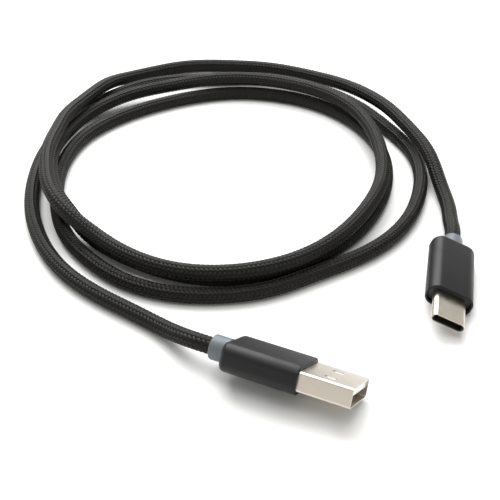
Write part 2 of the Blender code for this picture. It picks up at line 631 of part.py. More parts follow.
def usb_c_shield(frame, shield_front):
    """The sheet-steel can round the circuit card."""
    sheet = C_SHELL_SHEET
    outer = (C_SHIELD_WIDTH, C_SHIELD_HEIGHT, C_SHIELD_RADIUS)
    inner = (C_SHIELD_WIDTH - 2 * sheet, C_SHIELD_HEIGHT - 2 * sheet, C_SHIELD_RADIUS - sheet)
    back = shield_front - C_SHIELD_LENGTH
    rings = [(back, *outer), (shield_front, *outer), (shield_front, *inner), (back, *inner)]
    loft("usb_c_rear_shield", rings, STEEL, frame, hollow=True)


def usb_c_mould(frame, face, shell_back, sheath_end):
    """The inner mould: it grips the shell and leaves room for the can and the wires behind it."""
    fill = 2 * (C_HOUSING_WALL + FIT_GAP)
    outer = (C_HOUSING_WIDTH - fill, C_HOUSING_HEIGHT - fill, C_HOUSING_RADIUS - fill / 2)
    grip = (C_SHELL_WIDTH + 2 * FIT_GAP, C_SHELL_HEIGHT + 2 * FIT_GAP, C_SHELL_HEIGHT / 2 + FIT_GAP)
    room = (C_SHIELD_WIDTH + 2 * FIT_GAP, C_SHIELD_HEIGHT + 2 * FIT_GAP, C_SHIELD_RADIUS + FIT_GAP)
    seat = shell_back
    back = sheath_end
    rings = [(back, *outer), (face, *outer), (face, *grip), (seat, *grip), (seat, *room),
             (back, *room)]
    loft("usb_c_inner_mould", rings, BLACK_RESIN, frame, hollow=True)


# ---------------------------------------------------------------------------
# Cord
# ---------------------------------------------------------------------------
def smooth_line(route, count):
    """Evenly spaced points on the natural cubic spline through the route's points."""
    p = np.array(route, float)
    t = np.concatenate([[0.0], np.cumsum(np.linalg.norm(np.diff(p, axis=0), axis=1))])
    n, h = len(p), np.diff(t)
    matrix, right = np.eye(n), np.zeros((n, 3))
    for i in range(1, n - 1):
        matrix[i, i - 1:i + 2] = h[i - 1], 2 * (h[i - 1] + h[i]), h[i]
        right[i] = 6 * ((p[i + 1] - p[i]) / h[i] - (p[i] - p[i - 1]) / h[i - 1])
    m = np.linalg.solve(matrix, right)
    s = np.linspace(0.0, t[-1], count)
    k = np.clip(np.searchsorted(t, s, side="right") - 1, 0, n - 2)
    u, v, w = (s - t[k])[:, None], (t[k + 1] - s)[:, None], h[k][:, None]
    return ((m[k] * v ** 3 + m[k + 1] * u ** 3) / (6 * w)
            + (p[k] / w - m[k] * w / 6) * v + (p[k + 1] / w - m[k + 1] * w / 6) * u)


def behind(frame, reach):
    """The point on the plug's axis this far behind its collar."""
    bpy.context.view_layer.update()
    return tuple(frame.matrix_world @ Vector((-reach, 0.0, 0.0)))


def cord(frame_a, frame_c):
    """The braided cord from collar to collar. It leaves each plug along the plug's own axis."""
    ends = [behind(frame, FACE_GAP) for frame in (frame_a, frame_c)]
    stubs = [behind(frame, FACE_GAP + CORD_DIAMETER / 3) for frame in (frame_a, frame_c)]
    leads = [behind(frame, CORD_DIAMETER) for frame in (frame_a, frame_c)]
    line = smooth_line([ends[0], leads[0], *ROUTE, leads[1], ends[1]], TUBE_POINTS - 2)
    tube("cord", [ends[0], stubs[0], *line[1:-1], stubs[1], ends[1]], CORD_DIAMETER, BRAID, None)


plug_a = usb_a_plug()
plug_c = usb_c_plug()
cord(plug_a, plug_c)
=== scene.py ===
# %% [markdown]
# # A braided charging cable
#
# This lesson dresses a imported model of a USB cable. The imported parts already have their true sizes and
# places, so every piece below is built on top of them in the same frame: metres, +Z up, and the table
# top at Z = 0. Each piece gets a rounder mesh where the eye can tell, and a material made from nodes.

# %% Start
import json
import math

import bmesh
import bpy
import numpy as np
from mathutils import Euler, Matrix, Vector


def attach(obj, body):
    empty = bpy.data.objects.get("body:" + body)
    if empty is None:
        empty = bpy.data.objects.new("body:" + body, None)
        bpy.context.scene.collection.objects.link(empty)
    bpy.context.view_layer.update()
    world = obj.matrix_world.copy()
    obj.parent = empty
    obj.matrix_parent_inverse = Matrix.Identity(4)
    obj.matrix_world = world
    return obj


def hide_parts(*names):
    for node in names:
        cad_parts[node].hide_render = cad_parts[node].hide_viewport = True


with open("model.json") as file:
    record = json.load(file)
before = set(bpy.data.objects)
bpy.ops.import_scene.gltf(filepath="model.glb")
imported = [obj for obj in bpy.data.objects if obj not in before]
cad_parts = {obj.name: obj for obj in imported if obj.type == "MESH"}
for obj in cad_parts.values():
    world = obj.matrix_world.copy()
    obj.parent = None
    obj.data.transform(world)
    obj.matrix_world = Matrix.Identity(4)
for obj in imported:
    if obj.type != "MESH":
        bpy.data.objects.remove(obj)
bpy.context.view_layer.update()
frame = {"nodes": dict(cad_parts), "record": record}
MM = 0.001

# %% [markdown]
# ## Camera
# The cable is small, so the camera stands only 15 cm above the table and looks down at it. A lens of
# 72 mm on a 36 mm sensor keeps the perspective gentle.

# %% Camera
CAMERA_PLACE = (-0.0235, -0.1772, 0.1503)
CAMERA_PITCH = 35.6
camera_data = bpy.data.cameras.new("camera")
camera_data.lens = 72.0
camera_data.sensor_width = 36.0
camera_data.clip_start = 0.01
camera = bpy.data.objects.new("camera", camera_data)
camera.location = CAMERA_PLACE
camera.rotation_euler = (math.radians(90 - CAMERA_PITCH), 0.0, 0.0)
bpy.context.scene.collection.objects.link(camera)
bpy.context.scene.camera = camera
print("camera height in mm:", CAMERA_PLACE[2] / MM)

# %% [markdown]
# ## Colours and nodes
# Colours are easy to talk about as hex values, but the renderer works in linear light, so one function
# turns one into the other. A second small function adds a node, sets its options and inputs, and links
# whatever feeds it. Every material below is written with these two.


# %% Helpers for materials
def linear(code):
    """An sRGB hex colour as linear (r, g, b, 1)."""
    parts = [int(code[i:i + 2], 16) / 255 for i in (1, 3, 5)]
    return (*[c / 12.92 if c <= 0.04045 else ((c + 0.055) / 1.055) ** 2.4 for c in parts], 1.0)


def add_node(tree, kind, inputs=None, **settings):
    """Adds a node. An input given as a socket is linked, and any other value is set."""
    node = tree.nodes.new(kind)
    for name, value in settings.items():
        setattr(node, name, value)
    for key, value in (inputs or {}).items():
        if isinstance(value, bpy.types.NodeSocket):
            tree.links.new(value, node.inputs[key])
        else:
            node.inputs[key].default_value = value
    return node


def new_material(name, **values):
    """A material whose Principled shader has these socket values."""
    made = bpy.data.materials.new(name)
    made.use_nodes = True
    shader = made.node_tree.nodes["Principled BSDF"]
    for key, value in values.items():
        shader.inputs[key.replace("_", " ").title().replace("Ior", "IOR")].default_value = value
    made.diffuse_color = shader.inputs["Base Color"].default_value
    return made, made.node_tree, shader


# %% [markdown]
# ## The cord's braid
# A braided sleeve is two families of nylon yarn that wind round the cord in opposite directions and pass
# over and under each other. The bumps are real geometry here: a tube mesh whose radius follows the height
# of the yarn that is on top. For a shape this regular a formula is easier than modelling one yarn and
# copying it, and it bends along the cord with no seams.

# %% Where the cord lies
ROUTE = (
    (-0.0425, -0.0023, 0.0028), (-0.0505, 0.0044, 0.0021), (-0.0598, 0.0113, 0.0021),
    (-0.0695, 0.0208, 0.0021), (-0.0780, 0.0353, 0.0021), (-0.0828, 0.0508, 0.0021),
    (-0.0844, 0.0658, 0.0021), (-0.0839, 0.0788, 0.0021), (-0.0811, 0.0921, 0.0021),
    (-0.0785, 0.1008, 0.0021), (-0.0748, 0.1076, 0.0021), (-0.0695, 0.1140, 0.0021),
    (-0.0603, 0.1223, 0.0021), (-0.0485, 0.1268, 0.0021), (-0.0345, 0.1281, 0.0021),
    (-0.0205, 0.1284, 0.0021), (-0.0075, 0.1243, 0.0021), (0.0025, 0.1173, 0.0021),
    (0.0115, 0.1070, 0.0021), (0.0185, 0.0943, 0.0021), (0.0235, 0.0823, 0.0021),
    (0.0251, 0.0698, 0.0021), (0.0233, 0.0568, 0.0021), (0.0190, 0.0448, 0.0021),
    (0.0125, 0.0348, 0.0021), (0.0030, 0.0263, 0.0021), (-0.0075, 0.0198, 0.0021),
    (-0.0185, 0.0138, 0.0021), (-0.0305, 0.0112, 0.0021), (-0.0435, 0.0122, 0.0021),
    (-0.0548, 0.0173, 0.0021), (-0.0642, 0.0261, 0.0021), (-0.0713, 0.0366, 0.0021),
    (-0.0754, 0.0488, 0.0021), (-0.0776, 0.0628, 0.0021),
    # second pass
    (-0.0771, 0.0768, 0.0021), (-0.0735, 0.0888, 0.0021), (-0.0660, 0.0993, 0.0021),
    (-0.0565, 0.1073, 0.0021), (-0.0435, 0.1143, 0.0021), (-0.0295, 0.1178, 0.0021),
    (-0.0155, 0.1163, 0.0021), (-0.0035, 0.1108, 0.0021), (0.0065, 0.1013, 0.0021),
    (0.0130, 0.0888, 0.0021), (0.0155, 0.0748, 0.0021), (0.0145, 0.0618, 0.0021),
    (0.0105, 0.0488, 0.0021), (0.0040, 0.0373, 0.0021), (-0.0060, 0.0268, 0.0021),
    (-0.0175, 0.0198, 0.0021), (-0.0305, 0.0178, 0.0021), (-0.0425, 0.0202, 0.0021),
    (-0.0535, 0.0260, 0.0021), (-0.0600, 0.0310, 0.0021), (-0.0650, 0.0354, 0.0028),
    (-0.0703, 0.0410, 0.0058), (-0.0755, 0.0500, 0.0065), (-0.0790, 0.0618, 0.0065),
    # third pass
    (-0.0801, 0.0738, 0.0059), (-0.0785, 0.0858, 0.0048), (-0.0753, 0.0968, 0.0038),
    (-0.0688, 0.1073, 0.0036), (-0.0596, 0.1148, 0.0038), (-0.0490, 0.1177, 0.0048),
    (-0.0375, 0.1188, 0.0063), (-0.0235, 0.1191, 0.0066), (-0.0115, 0.1158, 0.0066),
    (-0.0005, 0.1093, 0.0066), (0.0080, 0.0988, 0.0066), (0.0125, 0.0858, 0.0066),
    (0.0139, 0.0723, 0.0066), (0.0123, 0.0558, 0.0066), (0.0075, 0.0433, 0.0066),
    (-0.0005, 0.0303, 0.0066), (-0.0125, 0.0196, 0.0066), (-0.0265, 0.0146, 0.0066),
    (-0.0415, 0.0158, 0.0063), (-0.0535, 0.0218, 0.0064), (-0.0635, 0.0308, 0.0069),
    (-0.0702, 0.0362, 0.0094), (-0.0752, 0.0436, 0.0108), (-0.0784, 0.0548, 0.0109),
    # fourth pass
    (-0.0798, 0.0664, 0.0107), (-0.0795, 0.0788, 0.0096), (-0.0784, 0.0901, 0.0088),
    (-0.0755, 0.1008, 0.0076), (-0.0731, 0.1077, 0.0070), (-0.0707, 0.1136, 0.0065),
    (-0.0679, 0.1200, 0.0052), (-0.0637, 0.1266, 0.0034), (-0.0570, 0.1326, 0.0023),
    (-0.0455, 0.1378, 0.0021), (-0.0305, 0.1384, 0.0021), (-0.0155, 0.1360, 0.0021),
    (-0.0032, 0.1302, 0.0023), (0.0065, 0.1214, 0.0036), (0.0135, 0.1108, 0.0052),
    (0.0193, 0.0991, 0.0062), (0.0231, 0.0882, 0.0065), (0.0261, 0.0790, 0.0063),
    (0.0281, 0.0702, 0.0055), (0.0295, 0.0598, 0.0030), (0.0300, 0.0488, 0.0025),
    (0.0291, 0.0398, 0.0035),
)
CORD_DIAMETER = 4.1 * MM
CORD_GAP = 0.3 * MM


def smooth_line(route, step):
    """Evenly spaced points on the natural cubic spline through the route's points."""
    p = np.array(route, float)
    t = np.concatenate([[0.0], np.cumsum(np.linalg.norm(np.diff(p, axis=0), axis=1))])
    n, h = len(p), np.diff(t)
    matrix, right = np.eye(n), np.zeros((n, 3))
    for i in range(1, n - 1):
        matrix[i, i - 1:i + 2] = h[i - 1], 2 * (h[i - 1] + h[i]), h[i]
        right[i] = 6 * ((p[i + 1] - p[i]) / h[i] - (p[i] - p[i - 1]) / h[i - 1])
    m = np.linalg.solve(matrix, right)
    s = np.linspace(0.0, t[-1], int(round(t[-1] / step)))
    k = np.clip(np.searchsorted(t, s, side="right") - 1, 0, n - 2)
    u, v, w = (s - t[k])[:, None], (t[k + 1] - s)[:, None], h[k][:, None]
    return ((m[k] * v ** 3 + m[k + 1] * u ** 3) / (6 * w)
            + (p[k] / w - m[k] * w / 6) * v + (p[k + 1] / w - m[k + 1] * w / 6) * u)


# %% [markdown]
# ## Where the two plugs lie
# Each plug lies on one rounded edge of its housing, so it is rolled a little and its axis stands a known
# height above the table. One matrix per plug takes points from the plug's own axes (X from the cord to
# the tip, Y across, Z through the thickness) to the table.


# %% The plugs' places
def lying_plug(place, yaw, roll, width, height, radius):
    """The plug's matrix. Its rolled housing just touches the table."""
    tilt = math.radians(abs(roll))
    lift = math.sin(tilt) * (width / 2 - radius) + math.cos(tilt) * (height / 2 - radius) + radius
    turn = Euler((math.radians(roll), 0.0, math.radians(yaw))).to_matrix().to_4x4()
    return Matrix.Translation((*place, lift)) @ turn


A_HOUSING = (13.6 * MM, 6.6 * MM, 2.4 * MM)
C_HOUSING = (11.6 * MM, 6.0 * MM, 2.6 * MM)
PLUG_A = lying_plug((-31.6 * MM, -11.0 * MM), -25.6, -28.5, *A_HOUSING)
PLUG_C = lying_plug((27.9 * MM, 30.85 * MM), -101.0, -22.0, *C_HOUSING)
print("axis heights in mm:", [round(m.translation.z / MM, 2) for m in (PLUG_A, PLUG_C)])


# %% The cord's line
def behind(plug, reach):
    """A point on the plug's axis, this far behind the end of its collar."""
    return tuple(plug @ Vector((-reach, 0.0, 0.0)))


LEAD = CORD_DIAMETER
cord_route = [behind(PLUG_A, CORD_GAP), behind(PLUG_A, LEAD), *ROUTE,
              behind(PLUG_C, LEAD), behind(PLUG_C, CORD_GAP)]
BRAID_PITCH = 1.1 * MM       # along the cord, from one yarn to the next of the same family
BRAID_YARNS = 12             # round the cord, in each family
RING_STEP = BRAID_PITCH / 5
RING_POINTS = BRAID_YARNS * 5
line = smooth_line(cord_route, RING_STEP)


# %% The cord's mesh
def turning_frames(points):
    """Tangent and two cross directions at each point, carried along with no twist."""
    tangent = np.gradient(points, axis=0)
    tangent /= np.linalg.norm(tangent, axis=1)[:, None]
    side = np.empty_like(points)
    side[0] = np.cross(tangent[0], (0.0, 0.0, 1.0))
    side[0] /= np.linalg.norm(side[0])
    for i in range(1, len(points)):
        carried = side[i - 1] - tangent[i] * np.dot(side[i - 1], tangent[i])
        side[i] = carried / np.linalg.norm(carried)
    return tangent, side, np.cross(tangent, side)


def yarn_height(along, around):
    """Height from 0 to 1 of the yarn on top, at a place counted in pitches and in yarns."""
    first, second = around + along, around - along
    row, column = np.floor(first), np.floor(second)
    second_on_top = np.mod(row + column, 4) >= 2
    afloat = np.where(second_on_top, np.mod(first + column - 2, 4), np.mod(second + row, 4)) / 2
    across = np.where(second_on_top, second - column, first - row)
    arch = np.sin(np.pi * np.clip(afloat, 0.0, 1.0))
    crown = np.sin(np.pi * across)
    return np.sqrt(np.clip(arch, 0.0, 1.0)) * (0.45 + 0.55 * np.sqrt(np.clip(crown, 0.0, 1.0)))


BRAID_RELIEF = 0.32 * MM
tangent, side, up = turning_frames(line)
ring, turn = np.meshgrid(np.arange(len(line)), np.arange(RING_POINTS), indexing="ij")
angle = 2 * math.pi * turn / RING_POINTS
height = yarn_height(ring * RING_STEP / BRAID_PITCH, turn * BRAID_YARNS / RING_POINTS)
radius = CORD_DIAMETER / 2 - BRAID_RELIEF * (1 - height)
points = (line[:, None, :] + radius[..., None] * (np.cos(angle)[..., None] * side[:, None, :]
                                                  + np.sin(angle)[..., None] * up[:, None, :]))
print("braid points:", points.shape[0] * points.shape[1])


# %% Build the cord
def grid_mesh(name, rows):
    """A tube mesh from rows of points, with a UV map that counts pitches and yarns."""
    count, across = rows.shape[:2]
    index = np.arange(count * across).reshape(count, across)
    following = np.roll(index, -1, axis=1)
    faces = np.stack([index[:-1], following[:-1], following[1:], index[1:]], axis=-1).reshape(-1, 4)
    mesh = bpy.data.meshes.new(name)
    loops = faces.reshape(-1)
    caps = [index[0][::-1], index[-1]]
    total = np.concatenate([loops, *caps])
    sizes = np.concatenate([np.full(len(faces), 4), np.full(len(caps), across)]).astype(int)
    mesh.vertices.add(count * across)
    mesh.vertices.foreach_set("co", rows.reshape(-1))
    mesh.loops.add(len(total))
    mesh.loops.foreach_set("vertex_index", total.astype(np.int32))
    mesh.polygons.add(len(sizes))
    mesh.polygons.foreach_set("loop_start", np.concatenate([[0], np.cumsum(sizes)[:-1]]).astype(np.int32))
    layer = mesh.uv_layers.new(name="weave")
    column = np.arange(across + 1)
    u = np.arange(count)
    corner_u = np.stack([u[:-1], u[:-1], u[1:], u[1:]], axis=-1)[:, None, :].repeat(across, axis=1)
    corner_v = np.stack([column[:-1], column[1:], column[1:], column[:-1]], axis=-1)[None].repeat(count - 1, 0)
    uv = np.zeros((len(total), 2))
    uv[:len(loops)] = np.stack([corner_u * RING_STEP / BRAID_PITCH,
                                corner_v * BRAID_YARNS / RING_POINTS], axis=-1).reshape(-1, 2)
    layer.data.foreach_set("uv", uv.reshape(-1))
    mesh.update(calc_edges=True)
    mesh.validate()
    mesh.shade_smooth()
    return mesh


def add_piece(name, mesh, body, slot, *replaced):
    """Puts a piece in the scene, on its body, in place of the plain solids that it stands for."""
    piece = bpy.data.objects.new(name, mesh)
    bpy.context.scene.collection.objects.link(piece)
    if replaced:
        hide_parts(*replaced)
    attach(piece, body)
    return piece


cord_mesh = grid_mesh("braided_cord", points)
cord = add_piece("braided_cord", cord_mesh, "cable", "braid", "cord")
print("cord faces:", len(cord_mesh.polygons))

# %% [markdown]
# ## Nylon yarn
# Nylon (polyamide) filament is spun into yarn and dyed black. Three ends lie side by side in each yarn of
# this braid. It is smoother than cotton. Its base colour carries a painted highlight on top of each end's arch
# and painted shade where it dives under the next yarn. The shader works out the same height as
# the mesh does, from the UV map, and adds the three ends, which are too fine for the mesh.

# %% Nylon yarn
nylon, tree, shader = new_material("black_nylon_yarn_braided", roughness=0.42, ior=1.53)
shader.inputs["Specular IOR Level"].default_value = 0.20
ENDS_PER_YARN = 3


def calc(operation, first, second=0.0):
    """One math node, from sockets or numbers to a socket."""
    return add_node(tree, "ShaderNodeMath", {0: first, 1: second}, operation=operation).outputs[0]


def choose(test, no, yes):
    return add_node(tree, "ShaderNodeMix", {0: test, 2: no, 3: yes}).outputs[0]


place = add_node(tree, "ShaderNodeUVMap", uv_map="weave")
along, around = add_node(tree, "ShaderNodeSeparateXYZ", {0: place.outputs["UV"]}).outputs[:2]
first, second = calc("ADD", around, along), calc("SUBTRACT", around, along)
row, column = calc("FLOOR", first), calc("FLOOR", second)
second_on_top = calc("GREATER_THAN", calc("FLOORED_MODULO", calc("ADD", row, column), 4.0), 1.5)
arch_first = calc("FLOORED_MODULO", calc("ADD", second, row), 4.0)
arch_second = calc("FLOORED_MODULO", calc("SUBTRACT", calc("ADD", first, column), 2.0), 4.0)
arch = calc("SINE", calc("MULTIPLY", choose(second_on_top, arch_first, arch_second), math.pi / 2))
across = choose(second_on_top, calc("FRACT", first), calc("FRACT", second))
crown = calc("SINE", calc("MULTIPLY", across, math.pi))
ends = calc("ABSOLUTE", calc("SINE", calc("MULTIPLY", across, ENDS_PER_YARN * math.pi)))
lifted = calc("MULTIPLY", calc("POWER", calc("MAXIMUM", arch, 0.0), 0.7),
              calc("POWER", calc("MAXIMUM", crown, 0.0), 0.4))
yarn = calc("MULTIPLY", lifted, calc("ADD", calc("MULTIPLY", ends, 0.55), 0.45))
# Painted highlight and painted shade in the base colour: lighter on the crown of each yarn and each end,
# darker where a yarn dives under the next. A noise varies how bright the painted glints are.
painted_glint_noise = add_node(tree, "ShaderNodeTexNoise", {"Vector": place.outputs["UV"], "Scale": 1.7,
                                              "Detail": 3.0})
wear_and_painted_highlight = calc("MULTIPLY", yarn, calc("ADD", painted_glint_noise.outputs["Fac"], 0.5))
ramp = add_node(tree, "ShaderNodeValToRGB", {"Fac": wear_and_painted_highlight})
ramp.color_ramp.elements[0].color = linear("#030303")
ramp.color_ramp.elements[0].position = 0.25
ramp.color_ramp.elements[1].color = linear("#18150F")
ramp.color_ramp.elements[1].position = 0.95
tree.links.new(ramp.outputs["Color"], shader.inputs["Base Color"])
bump = add_node(tree, "ShaderNodeBump", {"Height": yarn, "Strength": 0.6, "Distance": 0.12 * MM})
tree.links.new(bump.outputs["Normal"], shader.inputs["Normal"])
cord.data.materials.append(nylon)
print("material:", nylon.name, "nodes:", len(tree.nodes))

# %% [markdown]
# ## Sections and sleeves
# Housings and shells are rounded rectangles swept along the plug's X axis. One helper makes
# the section, with enough points for a round corner, and another skins a list of sections. A chamfer or
# a rolled edge is then only one or two more sections, a tenth of a millimetre apart.


# %% Helpers for sleeves
def section(width, height, radius, steps):
    """Points (y, z) round a rectangle with round corners."""
    radius = max(min(radius, width / 2 - 1e-6, height / 2 - 1e-6), 1e-6)
    across, upward = width / 2 - radius, height / 2 - radius
    corners = ((across, upward, 0), (-across, upward, 90), (-across, -upward, 180),
               (across, -upward, 270))
    made = []
    for y, z, start in corners:
        for step in range(steps + 1):
            angle = math.radians(start + 90 * step / steps)
            made.append((y + radius * math.cos(angle), z + radius * math.sin(angle)))
    return made


def sleeve(name, plug, rings, hollow=True, steps=14):
    """A skin over sections (x, width, height, radius), put in the plug's place."""
    bm = bmesh.new()
    loops = [[bm.verts.new(plug @ Vector((x, y, z))) for y, z in section(w, h, r, steps)]
             for x, w, h, r in rings]
    pairs = list(zip(loops, loops[1:]))
    if hollow:
        pairs.append((loops[-1], loops[0]))
    else:
        bm.faces.new(loops[0])
        bm.faces.new(loops[-1])
    count = len(loops[0])
    for near, far in pairs:
        for i in range(count):
            j = (i + 1) % count
            bm.faces.new((near[i], near[j], far[j], far[i]))
    bmesh.ops.recalc_face_normals(bm, faces=bm.faces)
    mesh = bpy.data.meshes.new(name)
    bm.to_mesh(mesh)
    bm.free()
    mesh.shade_smooth()
    mesh.set_sharp_from_angle(angle=math.radians(32))
    return mesh


def rounded_edge(x, width, height, radius, edge, outward, steps=4, wide=1.0, deep=1.0):
    """Sections that turn a sleeve's outer edge at x with a quarter round.

    wide stretches the round across the width, and deep stretches it along the sleeve.
    """
    rings = []
    for step in range(steps + 1):
        angle = math.radians(90 * step / steps)
        inset, back = edge * (1 - math.sin(angle)), edge * deep * (1 - math.cos(angle))
        rings.append((x - outward * back, width - 2 * wide * inset, height - 2 * inset,
                      radius - inset))
    return rings


# %% [markdown]
# ## Housings
# Both housings are short lengths of aluminium tube, drawn to shape, bead blasted and anodised black. The
# blasting leaves a fine even grain, so the long highlight on the upper edge is soft and slightly ragged.
# What the eye meets is the dyed oxide on top, a hard clear ceramic over a dark ground, and not the bare
# metal. So the shader isn't metallic: a dark base with a weak, broad gloss stands for both layers.

# %% Anodised aluminium
anodised, tree, shader = new_material("aluminium_blasted_black_anodised", base_color=linear("#1B1B1C"))
shader.inputs["Specular IOR Level"].default_value = 0.26
where = add_node(tree, "ShaderNodeTexCoord")
GRAIN = 0.09 * MM
grain = add_node(tree, "ShaderNodeTexNoise", {"Vector": where.outputs["Object"], "Scale": 1 / (4 * GRAIN),
                                              "Detail": 2.0})
bump = add_node(tree, "ShaderNodeBump", {"Height": grain.outputs["Fac"], "Strength": 0.08,
                                         "Distance": 0.02 * MM})
tree.links.new(bump.outputs["Normal"], shader.inputs["Normal"])
handled = add_node(tree, "ShaderNodeTexNoise", {"Vector": where.outputs["Object"], "Scale": 180.0,
                                                "Detail": 4.0})
gloss = add_node(tree, "ShaderNodeMapRange", {"Value": handled.outputs["Fac"], "From Min": 0.3,
                                              "From Max": 0.7, "To Min": 0.35, "To Max": 0.45})
tree.links.new(gloss.outputs["Result"], shader.inputs["Roughness"])
print("material:", anodised.name)

# %% Housing of the USB-A plug
A_COLLAR = (5.8 * MM, 4.3 * MM)
A_BACK, A_FRONT = A_COLLAR[1], A_COLLAR[1] + 18.0 * MM
A_TIP = A_FRONT + 12.0 * MM
A_WALL, A_END = 0.30 * MM, 0.9 * MM
A_NECK, C_NECK = 4.8 * MM, 4.3 * MM
FIT = 0.08 * MM


def housing(name, plug, back, front, size, wall, end_wall, hole, edge_back, edge_front):
    """A tube with a quarter-round edge at each end and a round hole in its back wall."""
    width, height, radius = size
    inner = (width - 2 * wall, height - 2 * wall, radius - wall)
    rings = [(back, hole, hole, hole / 2)]
    rings += rounded_edge(back, width, height, radius, edge_back, -1, steps=8, wide=1.9, deep=1.7)
    rings += rounded_edge(front, width, height, radius, edge_front, 1)[::-1]
    rings += [(front, *inner), (back + end_wall, *inner), (back + end_wall, hole, hole, hole / 2)]
    return sleeve(name, plug, rings)


mesh = housing("usb_a_housing_tube", PLUG_A, A_BACK, A_FRONT, A_HOUSING, A_WALL, A_END,
               A_NECK + 2 * FIT, 0.80 * MM, 0.22 * MM)
add_piece("usb_a_housing_tube", mesh, "cable", "anodised_aluminium", "usb_a_housing")
mesh.materials.append(anodised)
print("housing faces:", len(mesh.polygons))

# %% Housing of the USB-C plug
C_COLLAR = (5.2 * MM, 3.5 * MM)
C_BACK, C_FRONT = C_COLLAR[1], C_COLLAR[1] + 21.4 * MM
C_TIP = C_FRONT + 8.3 * MM
C_WALL = 0.50 * MM
mesh = housing("usb_c_housing_tube", PLUG_C, C_BACK, C_FRONT, C_HOUSING, C_WALL, A_END,
               C_NECK + 2 * FIT, 0.70 * MM, 0.15 * MM)
add_piece("usb_c_housing_tube", mesh, "cable", "anodised_aluminium", "usb_c_housing")
mesh.materials.append(anodised)

# %% [markdown]
# ## Collars
# The short collar where the cord comes out is a soft moulded elastomer, grey-blue and a little
# translucent. Light enters it and comes out softened, so its edges look paler than a painted part's.

# %% Elastomer
elastomer, tree, shader = new_material("elastomer_moulded_grey_blue", base_color=linear("#5F666B"),
                                       roughness=0.42, ior=1.45, subsurface_weight=0.35,
                                       subsurface_scale=1.2 * MM)
where = add_node(tree, "ShaderNodeTexCoord")
cloud = add_node(tree, "ShaderNodeTexNoise", {"Vector": where.outputs["Object"], "Scale": 420.0,
                                              "Detail": 3.0})
tint = add_node(tree, "ShaderNodeValToRGB", {"Fac": cloud.outputs["Fac"]})
tint.color_ramp.elements[0].color = linear("#586065")
tint.color_ramp.elements[1].color = linear("#6A7176")
tree.links.new(tint.outputs["Color"], shader.inputs["Base Color"])
matt = add_node(tree, "ShaderNodeTexNoise", {"Vector": where.outputs["Object"], "Scale": 3000.0})
bump = add_node(tree, "ShaderNodeBump", {"Height": matt.outputs["Fac"], "Strength": 0.15,
                                         "Distance": 0.03 * MM})
tree.links.new(bump.outputs["Normal"], shader.inputs["Normal"])


# %% Both collars
def collar(name, plug, size, neck, depth, replaced):
    """A short tube with a rolled back edge and the cord's hole in it."""
    diameter, length = size
    hole = 3.2 * MM + 2 * FIT
    rings = [(0.15 * MM, hole, hole, hole / 2), (0.0, hole + 0.3 * MM, hole + 0.3 * MM, hole / 2 + 0.15 * MM)]
    rings += rounded_edge(0.0, diameter, diameter, diameter / 2, 0.35 * MM, -1)
    front = length - FIT
    rings += [(front, diameter, diameter, diameter / 2), (front, neck, neck, neck / 2),
              (length + depth, neck, neck, neck / 2), (length + depth, hole, hole, hole / 2)]
    mesh = sleeve(name, plug, rings, steps=10)
    mesh.materials.append(elastomer)
    return add_piece(name, mesh, "cable", "grey_rubber", replaced)


collar_a = collar("usb_a_soft_collar", PLUG_A, A_COLLAR, A_NECK, 3.2 * MM, "usb_a_collar")
collar_c = collar("usb_c_soft_collar", PLUG_C, C_COLLAR, C_NECK, 3.0 * MM, "usb_c_collar")
print("collars:", collar_a.name, collar_c.name)

# %% [markdown]
# ## Nickel-plated shells
# A connector's shell is thin steel strip, folded round and plated with nickel. Nickel is a warm grey
# metal. The strip's rolling marks run along the plug; here a fine noise only varies the gloss a little.

# %% Nickel
nickel, tree, shader = new_material("steel_rolled_nickel_plated", base_color=linear("#D3CCC0"),
                                    metallic=1.0, roughness=0.32)
where = add_node(tree, "ShaderNodeTexCoord")
stretch = add_node(tree, "ShaderNodeMapping", {"Vector": where.outputs["Object"],
                                               "Scale": (500.0, 500.0, 500.0)})
wear_and_painted_highlight = add_node(tree, "ShaderNodeTexNoise", {"Vector": stretch.outputs["Vector"], "Scale": 1.0,
                                             "Detail": 5.0})
gloss = add_node(tree, "ShaderNodeMapRange", {"Value": wear_and_painted_highlight.outputs["Fac"], "From Min": 0.3,
                                              "From Max": 0.7, "To Min": 0.28, "To Max": 0.38})
tree.links.new(gloss.outputs["Result"], shader.inputs["Roughness"])
fine = add_node(tree, "ShaderNodeTexNoise", {"Vector": where.outputs["Object"], "Scale": 5000.0})
bump = add_node(tree, "ShaderNodeBump", {"Height": fine.outputs["Fac"], "Strength": 0.03,
                                         "Distance": 0.01 * MM})
tree.links.new(bump.outputs["Normal"], shader.inputs["Normal"])
print("material:", nickel.name)

# %% USB-A shell
A_SHELL = (12.0 * MM, 4.5 * MM, 0.60 * MM)
A_SHEET = 0.30 * MM
WINDOW = (2.5 * MM, 2.0 * MM)
WINDOW_SPACING = 5.5 * MM
WINDOW_FROM_TIP = 6.1 * MM


